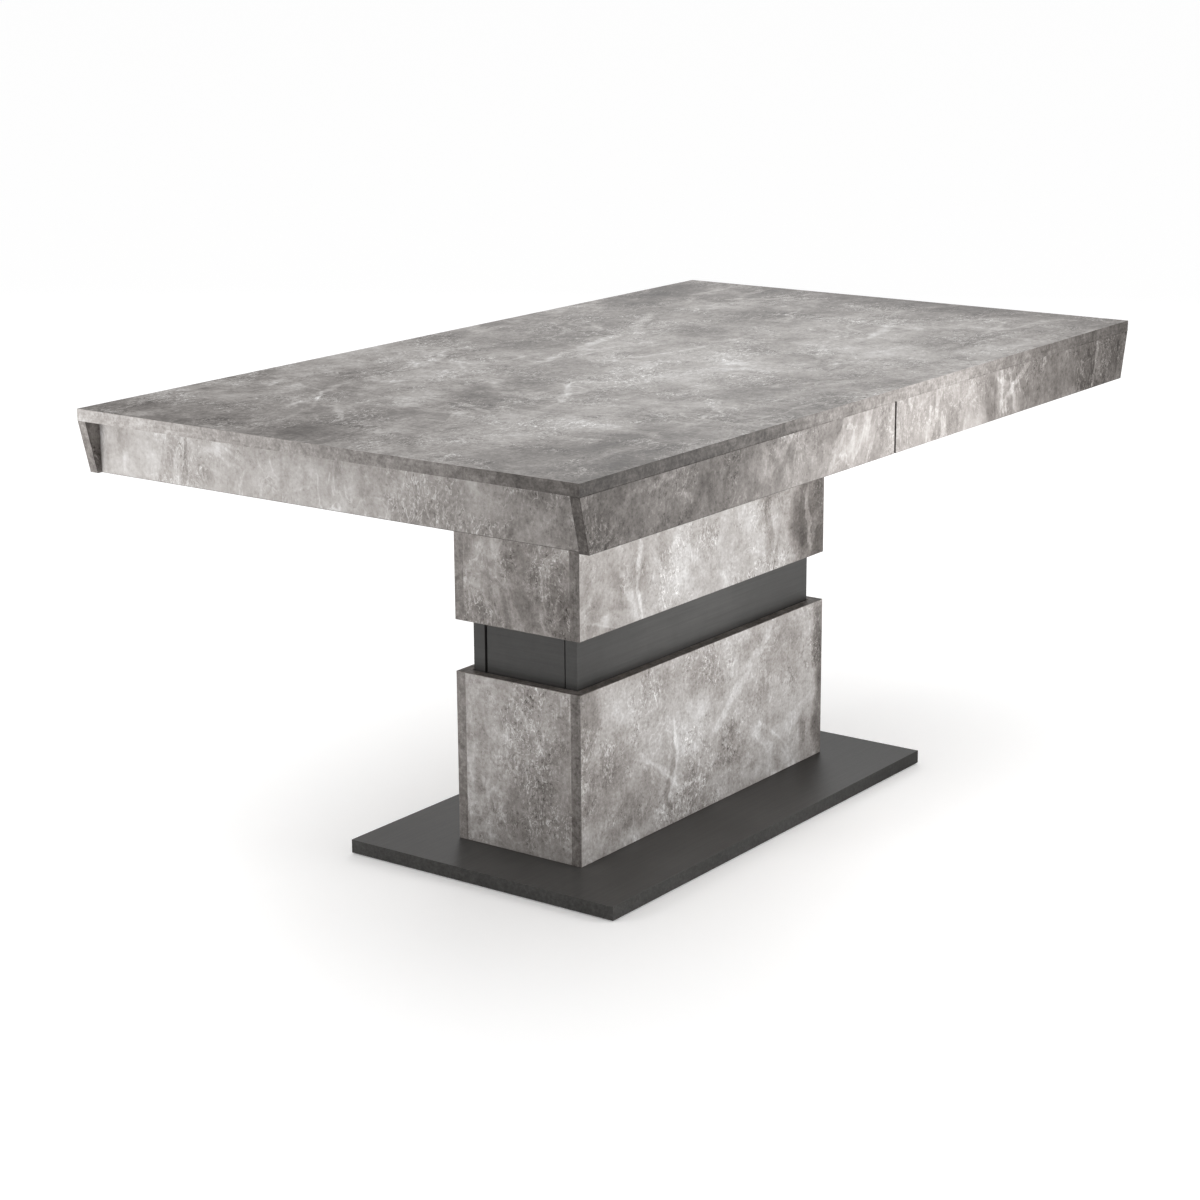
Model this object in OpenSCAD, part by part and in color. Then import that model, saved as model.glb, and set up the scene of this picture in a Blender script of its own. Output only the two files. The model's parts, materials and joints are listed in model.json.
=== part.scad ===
// Extendable pedestal dining table with a concrete-look board finish.
// Millimetres, +Z up. X runs along the table and Y across it.
// The origin is on the floor, under the middle of the top.
// The top splits at x = 0. "left" is the -X half, "right" the +X half, "front" is -Y and "back" is +Y.

/* [Table top] */
// Length of the closed top
top_l = 1600; // [1500:50:1700]
// Width of the top
top_w = 910; // [900:5:930]
// Height of the table
top_h = 750; // [740:5:760]
// Thickness of the top boards
slab_t = 18; // [16:1:19]
// How far each half of the top pulls out
pull_out = 400; // [300:50:400]

/* [Aprons] */
// Height of the aprons under the top
apron_h = 80; // [80:1:82]
// Thickness of the aprons
apron_t = 16; // [15:1:16]
// How far the sloped end of a long apron leans in at its bottom edge
apron_lean = 20; // [15:1:24]
// How far the end apron stands back from the end of the top
end_setback = 28; // [26:1:32]

/* [Pedestal] */
// Length of the two concrete-look blocks
block_l = 700; // [680:10:720]
// Width of the two blocks
block_w = 240; // [230:5:250]
// Height of the lower block's top edge
lower_top = 300; // [280:5:310]
// Height of the upper block's bottom edge
upper_bottom = 383; // [370:1:390]
// Board thickness of the blocks
block_t = 18; // [16:1:18]
// How far the dark neck stands in from the blocks
neck_inset = 20; // [19:1:24]
// Board thickness of the neck's long sides
neck_t = 22; // [18:1:24]

/* [Base plate] */
// Length of the base plate
base_l = 910; // [880:10:940]
// Width of the base plate
base_w = 510; // [500:5:520]
// Thickness of the base plate
base_t = 22; // [19:1:25]
// Thickness of the floor glides
glide_t = 2; // [2:1:4]

/* [Insert leaves] */
// Width that one leaf adds to the table
leaf_add = 400; // [380:10:400]

/* [Synchronising gear] */
// Tooth module of the rack and pinion
gear_module = 2; // [2:1:2]
// Number of teeth on the pinion
pinion_teeth = 18; // [18:1:18]

/* [Hidden] */
$fn = 48;

CONCRETE = [0.62, 0.61, 0.60];
EDGING = [0.40, 0.39, 0.38];
ANTHRACITE = [0.22, 0.22, 0.23];
BEECH = [0.76, 0.62, 0.44];
RAW_BOARD = [0.70, 0.60, 0.46];
STEEL = [0.62, 0.63, 0.65];
BLACK = [0.10, 0.10, 0.11];
NYLON = [0.88, 0.87, 0.83];
FELT = [0.30, 0.28, 0.26];

// Heights that stack up from the floor and down from the top
half_l = top_l / 2;
half_w = top_w / 2;
base_top = glide_t + base_t;
slab_z = top_h - slab_t;            // underside of the top
apron_z = slab_z - apron_h;         // bottom edge of the aprons
apron_in = half_w - apron_t;        // inner face of the long aprons
edge_t = 1;                         // edging strip thickness
seam = 0.2;                         // half of the hairline between the two top boards
apron_seam = 2;                     // half of the gap between the apron halves
ledge = 2;                          // how far the block boards stand past their lid or floor

// Head of the pedestal and the frame on it
frame_z = 661;                      // top of the upper block, where the frame lies
frame_h = 44;                       // height of the cross beams and rail beams
frame_top = frame_z + frame_h;
head_t = 22;
beam_x = 250;                       // middle of each cross beam
beam_w = 60;
rail_y = 400;                       // outer face of the rail beams
rail_t = 20;
rail_half = 455;                    // half length of the rail beams
notch_y = 33;                       // half width of the slot that lets the racks through a cross beam
notch_z = 674;
screw_r = 2.5;
screw_fit = 0.05;
screw_head_r = 5;
screw_head_h = 4;
screw_bite = 18;                    // how deep the frame's screws go into the head board
rod_r = 5;
rod_at = [180, 60];

// Telescopic slides: outer member on the rail beam, inner member on the runner batten
slide_l = 450;
slide_gap = 5;                      // distance from the seam to a slide's end
slide_w = 19;                       // whole thickness of a slide
sheet_t = 1.6;
outer_z = [660, 706];
middle_z = [665, 701];
inner_z = [670, 696];
middle_y = 4;                       // the middle member's web stands this far from the rail beam
inner_y = 8;                        // the inner member's flanges reach to this far from the rail beam
liner_gap = 0.2;                    // running gap of the nylon liners
liner_inset = 10;
batten_z = 664;
batten_x = [75, 740];               // from the seam

// Insert leaves, stored crosswise on the cross beams
leaf_z = 711;
leaf_l = top_w;
leaf_rest_w = 24;
leaf_front_y = -413;
leaf_back_y = 3;
dowel_r = 4;
dowel_out = 10;
dowel_in = 22;
dowel_fit = 0.02;
dowel_free = 0.2;
dowel_at = [-350, 0, 350];

// Rack and pinion
tooth_pitch = PI * gear_module;
pitch_r = gear_module * pinion_teeth / 2;
addendum = 0.9 * gear_module;
dedendum = 1.25 * gear_module;
pressure = 20;
backlash = 0.3;
rack_z = [678, 690];
rack_back = pitch_r + 12;           // far side of a rack bar
rack_start = 560;
rack_end = pull_out + 12;
pinion_z = [679, 689];
axle_r = 4;
axle_fit = 0.05;

// Swinging locks by the seam
lock_x = 14;
lock_z = 690;
lock_y = 427;                       // inner face of a hook plate
hook_t = 4;
pin_r = 3;
pin_fit = 0.06;
hook_arm = 2 * lock_x;              // pivot to stud
hook_tip = 36;
hook_open = 110;                    // a hook leans back on its stop by this much from locked

// ---- shared shapes -------------------------------------------------------

// A box between two corners
module block(low, high) {
    translate(low) cube([high[0] - low[0], high[1] - low[1], high[2] - low[2]]);
}

// The same solid on the front and on the back
module both_sides() {
    children();
    mirror([0, 1, 0]) children();
}

// The same solid on the right and on the left
module both_ends() {
    children();
    mirror([1, 0, 0]) children();
}

// A rod along X, Y or Z from a point
module rod_x(p, l, r) translate(p) rotate([0, 90, 0]) cylinder(h = l, r = r);
module rod_y(p, l, r) translate(p) rotate([-90, 0, 0]) cylinder(h = l, r = r);
module rod_z(p, l, r) translate(p) cylinder(h = l, r = r);

// A flat ring of edging around a rectangle, lying in XY
module flat_edging(low, high, z, t) {
    difference() {
        block([low[0], low[1], z], [high[0], high[1], z + t]);
        block([low[0] + edge_t, low[1] + edge_t, z - 1], [high[0] - edge_t, high[1] - edge_t, z + t + 1]);
    }
}

// ---- base plate ------------------------------------------------------------

module at_rods() {
    for (x = [-1, 1], y = [-1, 1]) translate([x * rod_at[0], y * rod_at[1], 0]) children();
}

counterbore_r = 14;
counterbore_h = 13;

module base_plate() {
    color(ANTHRACITE) difference() {
        block([-base_l / 2, -base_w / 2, glide_t], [base_l / 2, base_w / 2, base_top]);
        at_rods() rod_z([0, 0, 0], base_top + 1, rod_r + 0.5);
        at_rods() rod_z([0, 0, 0], glide_t + counterbore_h, counterbore_r);
    }
}

glide_r = 16;
glide_edge = 35;

module floor_glides() {
    color(BLACK)
    for (x = [-1, 0, 1], y = [-1, 1])
        rod_z([x * (base_l / 2 - glide_edge), y * (base_w / 2 - glide_edge), 0], glide_t, glide_r);
}

// ---- blocks and neck -------------------------------------------------------

// Long board of a block, without its edging. side is -1 for the front and 1 for the back.
module block_long_panel(side, z0, z1) {
    y0 = side < 0 ? -block_w / 2 : block_w / 2 - block_t;
    color(CONCRETE)
    block([-block_l / 2 + edge_t, y0, z0 + edge_t], [block_l / 2 - edge_t, y0 + block_t, z1 - edge_t]);
}

// End board of a block, which stands between the long boards
module block_end_panel(side, z0, z1) {
    x0 = side < 0 ? -block_l / 2 : block_l / 2 - block_t;
    y = block_w / 2 - block_t;
    color(CONCRETE) block([x0, -y, z0 + edge_t], [x0 + block_t, y, z1 - edge_t]);
}

// Edging of one block: a ring round each long board, and strips along the ends of the end boards
module block_edging(z0, z1) {
    x = block_l / 2;
    y = block_w / 2 - block_t;
    color(EDGING) {
        both_sides() difference() {
            block([-x, y, z0], [x, y + block_t, z1]);
            block([-x + edge_t, y - 1, z0 + edge_t], [x - edge_t, y + block_t + 1, z1 - edge_t]);
        }
        both_ends() for (z = [z0, z1 - edge_t]) block([x - block_t, -y, z], [x, y, z + edge_t]);
    }
}

module lower_front_panel() block_long_panel(-1, base_top, lower_top);
module lower_back_panel() block_long_panel(1, base_top, lower_top);
module lower_left_panel() block_end_panel(-1, base_top, lower_top);
module lower_right_panel() block_end_panel(1, base_top, lower_top);
module lower_edging() block_edging(base_top, lower_top);
module upper_front_panel() block_long_panel(-1, upper_bottom, frame_z);
module upper_back_panel() block_long_panel(1, upper_bottom, frame_z);
module upper_left_panel() block_end_panel(-1, upper_bottom, frame_z);
module upper_right_panel() block_end_panel(1, upper_bottom, frame_z);
module upper_edging() block_edging(upper_bottom, frame_z);

// A board that lies inside a block, drilled for the tie rods
module inner_board(z0, z1) {
    x = block_l / 2 - block_t;
    y = block_w / 2 - block_t;
    difference() {
        block([-x, -y, z0], [x, y, z1]);
        at_rods() rod_z([0, 0, z0 - 1], z1 - z0 + 2, rod_r + 0.5);
    }
}

module lower_lid() color(ANTHRACITE) inner_board(lower_top - ledge - block_t, lower_top - ledge);
module upper_floor() color(ANTHRACITE) inner_board(upper_bottom + ledge, upper_bottom + ledge + block_t);

module head_board() {
    color(RAW_BOARD) difference() {
        inner_board(frame_z - head_t, frame_z);
        at_beam_screws() rod_z([0, 0, frame_z - head_t - 1], head_t + 2, screw_r + screw_fit);
        rod_z([0, 0, frame_z - 12], 13, axle_r + 0.5);
    }
}

neck_x = block_l / 2 - neck_inset;
neck_y = block_w / 2 - neck_inset;
neck_z0 = lower_top - ledge;
neck_z1 = upper_bottom + ledge;
neck_end_back = 2;                  // the neck's end boards stand this far inside its long boards
neck_groove = 3;                    // shadow gap on each side of an end board

module neck_long_panels() {
    color(ANTHRACITE) both_sides()
        block([-neck_x, neck_y - neck_t, neck_z0], [neck_x, neck_y, neck_z1]);
}

module neck_end_panels() {
    x1 = neck_x - neck_end_back;
    y = neck_y - neck_t - neck_groove;
    color(ANTHRACITE) both_ends() block([x1 - block_t, -y, neck_z0], [x1, y, neck_z1]);
}

// ---- tie rods --------------------------------------------------------------

nut_r = 9.8;
nut_h = 8;
washer_r = 12;
washer_t = 2;
rod_low = glide_t + 1;
rod_high = frame_z + washer_t + nut_h + 3;
low_nut_z = glide_t + counterbore_h - washer_t - nut_h;

module tie_rods() color(STEEL) at_rods() rod_z([0, 0, rod_low], rod_high - rod_low, rod_r);

module tie_rod_nuts() {
    color(STEEL) at_rods() difference() {
        union() {
            translate([0, 0, low_nut_z]) cylinder(h = nut_h, r = nut_r, $fn = 6);
            rod_z([0, 0, low_nut_z + nut_h], washer_t, washer_r);
        }
        rod_z([0, 0, 0], 40, rod_r + 0.02);
    }
    color(STEEL) at_rods() difference() {
        union() {
            rod_z([0, 0, frame_z], washer_t, washer_r);
            translate([0, 0, frame_z + washer_t]) cylinder(h = nut_h, r = nut_r, $fn = 6);
        }
        rod_z([0, 0, frame_z - 1], nut_h + washer_t + 2, rod_r + 0.02);
    }
}

// ---- frame on the pedestal -------------------------------------------------

beam_screw_y = [50, 90];

module at_beam_screws() {
    for (x = [-beam_x, beam_x], y = beam_screw_y, side = [-1, 1]) translate([x, side * y, 0]) children();
}

module cross_beams() {
    reach = rail_y - rail_t;
    color(BEECH) both_ends() difference() {
        block([beam_x - beam_w / 2, -reach, frame_z], [beam_x + beam_w / 2, reach, frame_top]);
        block([beam_x - beam_w, -notch_y, notch_z], [beam_x + beam_w, notch_y, frame_top + 1]);
        at_beam_screws() rod_z([0, 0, frame_z - 1], frame_h + 2, screw_r + screw_fit);
        at_beam_screws() rod_z([0, 0, frame_top - screw_head_h], screw_head_h + 1, screw_head_r + 0.2);
    }
}

module rail_beams() {
    color(BEECH) both_sides() block([-rail_half, rail_y - rail_t, frame_z], [rail_half, rail_y, frame_top]);
}

module beam_screws() {
    color(STEEL) at_beam_screws() {
        rod_z([0, 0, frame_z - screw_bite], frame_h + screw_bite - screw_head_h, screw_r);
        rod_z([0, 0, frame_top - screw_head_h], screw_head_h - 0.5, screw_head_r);
    }
}

// ---- telescopic slides -----------------------------------------------------

// One pair of C-shaped members, front and back. The web is at y0 and the flanges reach to y1.
module slide_channels(x, y0, y1, z) {
    web = y1 > y0 ? y0 : y0 - sheet_t;
    low = min(y0, y1);
    high = max(y0, y1);
    color(STEEL) both_sides() union() {
        block([x[0], web, z[0]], [x[1], web + sheet_t, z[1]]);
        block([x[0], low, z[0]], [x[1], high, z[0] + sheet_t]);
        block([x[0], low, z[1] - sheet_t], [x[1], high, z[1]]);
    }
}

slide_y = rail_y + slide_w;         // inner face of the runner battens
right_slide_x = [slide_gap, slide_gap + slide_l];
left_slide_x = [-right_slide_x[1], -right_slide_x[0]];

module slide_outer_members() {
    for (x = [left_slide_x, right_slide_x]) slide_channels(x, rail_y, slide_y - 1, outer_z);
}

// A nylon liner between two flanges
module liner(x, y0, z) {
    color(NYLON) both_sides()
        block([x[0] + liner_inset, y0, z[0]], [x[1] - liner_inset, slide_y - 3, z[1]]);
}

// Middle members with their nylon liners, two outside and two inside
module slide_middle(x) {
    slide_channels(x, rail_y + middle_y, slide_y - 1.4, middle_z);
    liner(x, rail_y + middle_y + 2, [outer_z[0] + sheet_t + liner_gap, middle_z[0]]);
    liner(x, rail_y + middle_y + 2, [middle_z[1], outer_z[1] - sheet_t - liner_gap]);
    liner(x, rail_y + inner_y + 1, [middle_z[0] + sheet_t, inner_z[0] - liner_gap]);
    liner(x, rail_y + inner_y + 1, [inner_z[1] + liner_gap, middle_z[1] - sheet_t]);
}

module slide_middle_left() slide_middle(left_slide_x);
module slide_middle_right() slide_middle(right_slide_x);

module slide_inner_left() slide_channels(left_slide_x, slide_y, rail_y + inner_y, inner_z);
module slide_inner_right() slide_channels(right_slide_x, slide_y, rail_y + inner_y, inner_z);

// ---- insert leaves ---------------------------------------------------------

module leaf_rests() {
    color(FELT)
    for (x = [-beam_x, beam_x], y = [[-398, -notch_y - 4], [notch_y + 4, 398]])
        block([x - leaf_rest_w / 2, y[0], frame_top], [x + leaf_rest_w / 2, y[1], leaf_z]);
}

// One leaf without its edging. Stored, its length lies along X and its dowels point to +Y.
module leaf_board(y0) {
    x = leaf_l / 2 - edge_t;
    color(CONCRETE) difference() {
        block([-x, y0 + edge_t, leaf_z], [x, y0 + leaf_add - edge_t, leaf_z + slab_t]);
        leaf_holes(y0);
    }
}

module leaf_holes(y0) {
    for (x = dowel_at) {
        rod_y([x, y0 + leaf_add - dowel_in, leaf_z + slab_t / 2], dowel_in + 1, dowel_r + dowel_fit);
        rod_y([x, y0 - 1, leaf_z + slab_t / 2], dowel_out + 3, dowel_r + dowel_free);
    }
}

module leaf_front() leaf_board(leaf_front_y);
module leaf_back() leaf_board(leaf_back_y);

module leaf_edging() {
    for (y0 = [leaf_front_y, leaf_back_y])
        color(EDGING) difference() {
            flat_edging([-leaf_l / 2, y0], [leaf_l / 2, y0 + leaf_add], leaf_z, slab_t);
            leaf_holes(y0);
        }
}

module leaf_dowels() {
    color(BEECH)
    for (y0 = [leaf_front_y, leaf_back_y], x = dowel_at)
        rod_y([x, y0 + leaf_add - dowel_in, leaf_z + slab_t / 2], dowel_in + dowel_out, dowel_r);
}

// ---- synchronising rack and pinion -----------------------------------------

base_r = pitch_r * cos(pressure);
tip_r = pitch_r + addendum;
root_r = pitch_r - dedendum;
flank_steps = 5;

// Involute function, in degrees
function inv(a) = tan(a) * 180 / PI - a;
// Half of a tooth's width as an angle, at radius r
function half_tooth(r) =
    90 / pinion_teeth - backlash / 2 / pitch_r * 90 / PI + inv(pressure) - inv(acos(min(1, base_r / r)));
function flank_r(i) = base_r + (tip_r - base_r) * i / flank_steps;
function polar(r, a) = [r * cos(a), r * sin(a)];

pinion_outline = [
    for (k = [0 : pinion_teeth - 1])
        let (mid = k * 360 / pinion_teeth)
        each concat(
            [polar(root_r, mid - half_tooth(base_r))],
            [for (i = [0 : flank_steps]) polar(flank_r(i), mid - half_tooth(flank_r(i)))],
            [for (i = [flank_steps : -1 : 0]) polar(flank_r(i), mid + half_tooth(flank_r(i)))],
            [polar(root_r, mid + half_tooth(base_r))]
        )
];

// The first tooth points to +Y, so that a gap of each rack faces it
module pinion() {
    color(NYLON) difference() {
        translate([0, 0, pinion_z[0]]) rotate([0, 0, 90])
            linear_extrude(pinion_z[1] - pinion_z[0]) polygon(pinion_outline);
        rod_z([0, 0, pinion_z[0] - 1], pinion_z[1] - pinion_z[0] + 2, axle_r + axle_fit);
    }
}

first_tooth = -3;
last_tooth = floor(rack_end / tooth_pitch - 0.75);
half_tip = tooth_pitch / 4 - backlash / 4 - addendum * tan(pressure);
half_root = tooth_pitch / 4 - backlash / 4 + dedendum * tan(pressure);

rack_outline = concat(
    [[-rack_start, rack_back], [-rack_start, pitch_r + dedendum]],
    [for (k = [first_tooth : last_tooth])
        let (x = (k + 0.5) * tooth_pitch)
        each [
            [x - half_root, pitch_r + dedendum], [x - half_tip, pitch_r - addendum],
            [x + half_tip, pitch_r - addendum], [x + half_root, pitch_r + dedendum]
        ]],
    [[rack_end, pitch_r + dedendum], [rack_end, rack_back]]
);

rack_screw_x = [515, 545];
rack_screw_y = pitch_r + 7;
rack_screw_r = 2;
rack_screw_l = 28;
hanger_l = 60;

module rack() {
    color(STEEL) difference() {
        translate([0, 0, rack_z[0]]) linear_extrude(rack_z[1] - rack_z[0]) polygon(rack_outline);
        for (x = rack_screw_x) rod_z([-x, rack_screw_y, rack_z[0] - 1], 20, rack_screw_r + screw_fit);
    }
}

// Wooden block that carries the rack under the top
module rack_hanger() {
    color(BEECH) difference() {
        block([-rack_start, pitch_r - 4, rack_z[1]], [-rack_start + hanger_l, rack_back + 14, slab_z]);
        for (x = rack_screw_x)
            rod_z([-x, rack_screw_y, rack_z[1] - 1], rack_screw_l, rack_screw_r + screw_fit);
    }
}

module rack_screws() {
    color(STEEL) for (x = rack_screw_x) rod_z([-x, rack_screw_y, rack_z[0]], rack_screw_l, rack_screw_r);
}

module rack_left() rack();
module rack_right() rotate([0, 0, 180]) rack();
module rack_hanger_left() rack_hanger();
module rack_hanger_right() rotate([0, 0, 180]) rack_hanger();
module rack_screws_left() rack_screws();
module rack_screws_right() rotate([0, 0, 180]) rack_screws();

gear_plate_t = 4;
gear_plate = [60, 46];              // half length and half width
gear_post = [48, 40];
gear_post_r = 5;
gear_hub_r = 9;
cover_z = rack_z[1] + 1;
spigot_out = 4;                     // how far the axle stands out above the racks
spigot_in = 11;                     // how deep it goes into the head board

// Flat plate of the gear unit
module gear_plate(z) {
    block([-gear_plate[0], -gear_plate[1], z], [gear_plate[0], gear_plate[1], z + gear_plate_t]);
}

module gear_mount() {
    color(BLACK) union() {
        gear_plate(frame_z);
        rod_z([0, 0, frame_z], pinion_z[0] - 0.3 - frame_z, gear_hub_r);
        rod_z([0, 0, frame_z - spigot_in], rack_z[1] + spigot_out - frame_z + spigot_in, axle_r);
        for (x = [-1, 1], y = [-1, 1])
            rod_z([x * gear_post[0], y * gear_post[1], frame_z], cover_z - frame_z, gear_post_r);
    }
}

module gear_cover() {
    color(BLACK) difference() {
        gear_plate(cover_z);
        rod_z([0, 0, cover_z - 1], gear_plate_t + 2, axle_r + axle_fit);
    }
}

// ---- sliding halves of the top ---------------------------------------------

module seam_holes(fit, depth) {
    for (y = dowel_at) rod_x([-depth, y, slab_z + slab_t / 2], depth + 1, dowel_r + fit);
}

// Board of one half, drawn for the left side and mirrored for the right
module top_panel(fit, depth) {
    color(CONCRETE) difference() {
        block([-half_l + edge_t, -half_w + edge_t, slab_z], [-seam - edge_t, half_w - edge_t, top_h]);
        seam_holes(fit, depth);
    }
}

module top_edging(fit, depth) {
    color(EDGING) difference() {
        flat_edging([-half_l, -half_w], [-seam, half_w], slab_z, slab_t);
        seam_holes(fit, depth);
    }
}

module top_panel_left() top_panel(dowel_fit, dowel_in);
module top_panel_right() mirror([1, 0, 0]) top_panel(dowel_free, dowel_out + 3);
module top_edging_left() top_edging(dowel_fit, dowel_in);
module top_edging_right() mirror([1, 0, 0]) top_edging(dowel_free, dowel_out + 3);

module alignment_dowels() {
    color(BEECH)
    for (y = dowel_at) rod_x([-dowel_in, y, slab_z + slab_t / 2], dowel_in + dowel_out, dowel_r);
}

// Outline of a long apron in XZ, drawn t inside its edges. The outer end slopes inwards going down.
slope = apron_lean / apron_h;
slope_step = sqrt(1 + slope * slope);
function apron_outline(t) = [
    [-half_l + t * slope_step + slope * t, slab_z - t],
    [-apron_seam - t, slab_z - t],
    [-apron_seam - t, apron_z + t],
    [-half_l + apron_lean + t * slope_step - slope * t, apron_z + t]
];

module apron_slab(y0, t) {
    translate([0, y0 + apron_t, 0]) rotate([90, 0, 0]) linear_extrude(apron_t) polygon(apron_outline(t));
}

module long_apron(side) {
    color(CONCRETE) apron_slab(side < 0 ? -half_w : apron_in, edge_t);
}

module end_apron() {
    x = -half_l + end_setback;
    color(CONCRETE) block([x, -apron_in, apron_z + edge_t], [x + apron_t, apron_in, slab_z]);
}

module apron_edging() {
    x = -half_l + end_setback;
    color(EDGING) {
        both_sides() difference() {
            apron_slab(apron_in, 0);
            translate([0, apron_in + apron_t + 1, 0]) rotate([90, 0, 0])
                linear_extrude(apron_t + 2) polygon(apron_outline(edge_t));
        }
        block([x, -apron_in, apron_z], [x + apron_t, apron_in, apron_z + edge_t]);
    }
}

module runner_battens() {
    color(BEECH) both_sides()
        block([-batten_x[1], slide_y, batten_z], [-batten_x[0], apron_in, slab_z]);
}

module apron_front_left() long_apron(-1);
module apron_back_left() long_apron(1);
module apron_end_left() end_apron();
module apron_edging_left() apron_edging();
module runner_battens_left() runner_battens();
module apron_front_right() mirror([1, 0, 0]) long_apron(-1);
module apron_back_right() mirror([1, 0, 0]) long_apron(1);
module apron_end_right() mirror([1, 0, 0]) end_apron();
module apron_edging_right() mirror([1, 0, 0]) apron_edging();
module runner_battens_right() mirror([1, 0, 0]) runner_battens();

// ---- locks -----------------------------------------------------------------

lock_plate_t = 2;
stop_r = 2.5;
stop_at = polar(20, hook_open + 12 + 8.6);

// Plate on the apron's inner face with the pivot pin and the stop that the open hook leans on
module lock_pivots() {
    color(STEEL) both_sides() union() {
        block([-60, apron_in - lock_plate_t, lock_z - 14], [-apron_seam - 1, apron_in, lock_z + 34]);
        rod_y([-lock_x, lock_y - 1, lock_z], apron_in - lock_y, pin_r);
        rod_y([-lock_x, lock_y - 2.5, lock_z], 1.6, pin_r + 2);
        rod_y([-lock_x + stop_at[0], lock_y, lock_z + stop_at[1]], apron_in - lock_y - 0.5, stop_r);
    }
}

// Plate on the other apron with the stud that the hook catches
module lock_studs() {
    color(STEEL) both_sides() union() {
        block([apron_seam + 1, apron_in - lock_plate_t, lock_z - 14], [34, apron_in, lock_z + 14]);
        rod_y([lock_x, lock_y - 1.5, lock_z], apron_in - lock_y, pin_r);
    }
}

// Hook in its locked attitude with its pivot at the origin, lying in XZ, from y = 0 to hook_t
module hook_flat() {
    slot = pin_r + 0.5;
    difference() {
        union() {
            rod_y([0, 0, 0], hook_t, 8);
            intersection() {
                rod_y([0, 0, 0], hook_t, hook_tip);
                translate([0, hook_t, 0]) rotate([90, 0, 0]) linear_extrude(hook_t)
                    polygon([[0, 0], [50 * cos(-9), 50 * sin(-9)], [50 * cos(12), 50 * sin(12)]]);
            }
        }
        rod_y([0, -1, 0], hook_t + 2, pin_r + pin_fit);
        rod_y([hook_arm, -1, 0], hook_t + 2, slot);
        intersection() {
            difference() {
                rod_y([0, -1, 0], hook_t + 2, hook_arm + slot);
                rod_y([0, -2, 0], hook_t + 4, hook_arm - slot);
            }
            translate([0, hook_t + 1, 0]) rotate([90, 0, 0]) linear_extrude(hook_t + 2)
                polygon([[0, 0], [50, 0], [50 * cos(-20), 50 * sin(-20)]]);
        }
    }
}

module lock_hook(y) {
    color(STEEL) translate([-lock_x, y, lock_z]) rotate([0, -hook_open, 0]) hook_flat();
}

module lock_hook_front() lock_hook(-lock_y - hook_t);
module lock_hook_back() lock_hook(lock_y);

// ---- what is drawn ---------------------------------------------------------

base_plate();
floor_glides();
lower_front_panel();
lower_back_panel();
lower_left_panel();
lower_right_panel();
lower_edging();
lower_lid();
neck_long_panels();
neck_end_panels();
upper_front_panel();
upper_back_panel();
upper_left_panel();
upper_right_panel();
upper_edging();
upper_floor();
head_board();
tie_rods();
tie_rod_nuts();
cross_beams();
rail_beams();
beam_screws();
slide_outer_members();
leaf_rests();
leaf_front();
leaf_back();
leaf_edging();
leaf_dowels();
gear_mount();
gear_cover();
pinion();
slide_middle_left();
slide_middle_right();
top_panel_left();
top_edging_left();
apron_front_left();
apron_back_left();
apron_end_left();
apron_edging_left();
runner_battens_left();
slide_inner_left();
rack_left();
rack_hanger_left();
rack_screws_left();
alignment_dowels();
lock_pivots();
lock_hook_front();
lock_hook_back();
top_panel_right();
top_edging_right();
apron_front_right();
apron_back_right();
apron_end_right();
apron_edging_right();
runner_battens_right();
slide_inner_right();
rack_right();
rack_hanger_right();
rack_screws_right();
lock_studs();
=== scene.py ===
"""The looks of the extendable pedestal table: finishes, eased board edges, light and camera.

Metres, +Z up, X along the table, Y across it. Every node comes from the frame and stays where it
is. The boards and beams get eased edges, and the other nodes keep their CAD shape.
"""

import json
import math

import bmesh
import bpy
from mathutils import Matrix, Vector


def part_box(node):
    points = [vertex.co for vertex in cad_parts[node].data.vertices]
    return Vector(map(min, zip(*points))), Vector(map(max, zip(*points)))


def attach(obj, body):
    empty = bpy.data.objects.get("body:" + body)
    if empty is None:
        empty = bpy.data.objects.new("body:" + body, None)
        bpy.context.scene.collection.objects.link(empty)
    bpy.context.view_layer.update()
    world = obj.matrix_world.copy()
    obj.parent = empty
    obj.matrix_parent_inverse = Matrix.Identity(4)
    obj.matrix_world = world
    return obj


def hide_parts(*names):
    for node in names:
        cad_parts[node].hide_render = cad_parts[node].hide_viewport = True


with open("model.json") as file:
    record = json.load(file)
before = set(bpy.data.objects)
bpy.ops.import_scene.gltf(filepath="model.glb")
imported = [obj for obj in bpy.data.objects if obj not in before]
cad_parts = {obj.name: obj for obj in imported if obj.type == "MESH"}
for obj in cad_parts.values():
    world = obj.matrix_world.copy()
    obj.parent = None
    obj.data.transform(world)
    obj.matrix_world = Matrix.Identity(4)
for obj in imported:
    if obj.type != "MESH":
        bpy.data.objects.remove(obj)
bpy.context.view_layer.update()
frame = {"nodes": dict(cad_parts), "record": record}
nodes = frame["nodes"]
record = frame["record"]
body_of = {n: body for body, members in record["behaviour"]["bodies"].items() for n in members}
slot_of = {part["node"]: part["material_slot"] for part in record["subparts"]}

MM = 0.001
TOP_LOW, TOP_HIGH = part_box("top_edging_left")
HALF_LENGTH, HALF_WIDTH = -TOP_LOW.x, -TOP_LOW.y
DISPLAY_POWER = 2.2  # from a tone as a screen shows it to light


# ---- shader building ------------------------------------------------------------


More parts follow.
